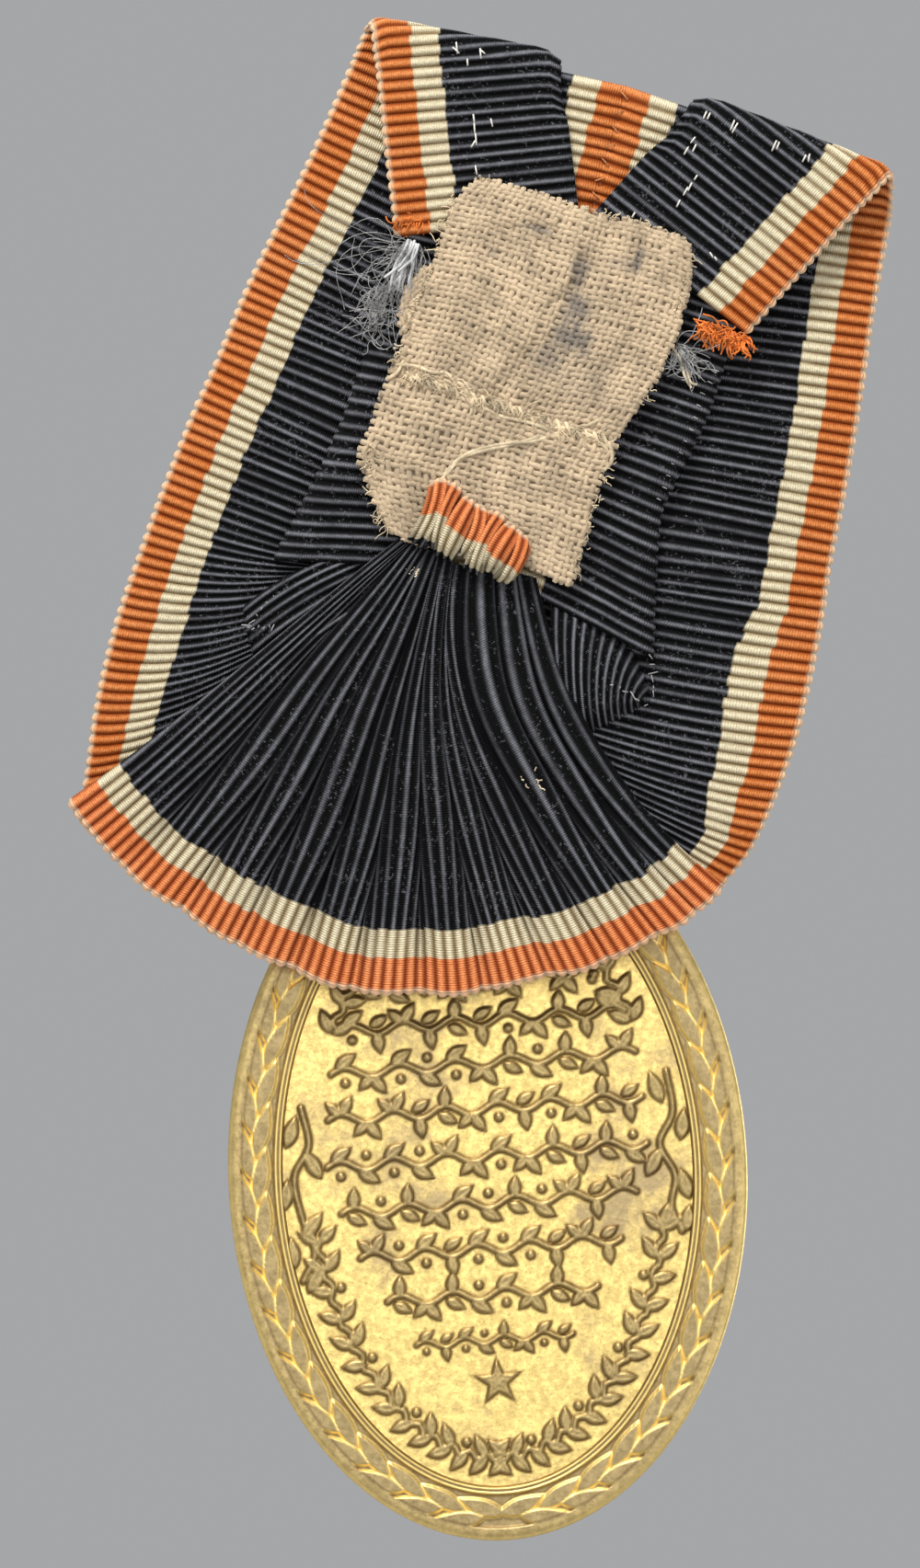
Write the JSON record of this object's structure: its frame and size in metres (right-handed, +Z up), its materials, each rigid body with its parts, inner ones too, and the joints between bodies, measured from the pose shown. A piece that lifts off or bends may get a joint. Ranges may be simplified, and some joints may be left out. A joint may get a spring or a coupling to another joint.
{
  "type": "military service medal",
  "caption": "Oval struck medal on a ring and link, hung from a striped rep ribbon folded to a U, gathered into a fan and backed with a linen sewing patch.",
  "frame": {"origin": "centre line of the ribbon on the flat back face of the linen patch, where the medal is sewn to a tunic or bar", "axes": "+Z up along the hanging medal, -Y out of the struck front, +Y out of the sewn back, +X to the wearer's left"},
  "size_m": [0.0495, 0.0085, 0.0925],
  "materials": {
    "struck_bronze": "gilt bronze, struck, toned",
    "brass_wire": "drawn wire, toned",
    "rep_ribbon": "ribbed silk rep, black with cream and orange edge stripes",
    "linen": "coarse plain-weave linen, stained",
    "white_thread": "cotton sewing thread",
    "dark_thread": "waxed linen thread",
    "rust_thread": "frayed silk"
  },
  "bodies": {
    "ribbon": {"left_leg": "rep_ribbon", "right_leg": "rep_ribbon", "left_inner_fold": "rep_ribbon", "right_inner_fold": "rep_ribbon", "ribbon_fan": "rep_ribbon", "ribbon_gather": "rep_ribbon", "left_flap": "rep_ribbon", "right_flap": "rep_ribbon", "linen_patch": "linen", "linen_tail": "linen", "linen_tongue": "linen", "seam_thread": "dark_thread", "waist_thread": "white_thread", "gather_thread": "dark_thread", "thread_bar": "dark_thread", "left_flap_stitches": "white_thread", "right_flap_stitches": "white_thread", "left_frayed_end": "white_thread", "right_frayed_end": "rust_thread"},
    "link": {"hanging_link": "brass_wire"},
    "ring": {"suspension_ring": "brass_wire"},
    "disc": {"medal_disc": "struck_bronze", "ball_eyelet": "struck_bronze"}
  },
  "joints": [
    {"name": "link_swing", "type": "hinge", "parent": "ribbon", "child": "link", "pos_m": [0, -0.0037, -0.0154], "axis": [-1, 0, 0], "range_deg": [0, 75]},
    {"name": "ring_turn", "type": "hinge", "parent": "link", "child": "ring", "pos_m": [0, -0.0052, -0.0239], "axis": [0, 1, 0], "range_deg": [-78.1, 41.9]},
    {"name": "disc_flip", "type": "hinge", "parent": "ring", "child": "disc", "pos_m": [-0.00208, -0.0052, -0.03027], "axis": [-0.9505, 0, 0.3107], "range_deg": [0, 85]}
  ]
}
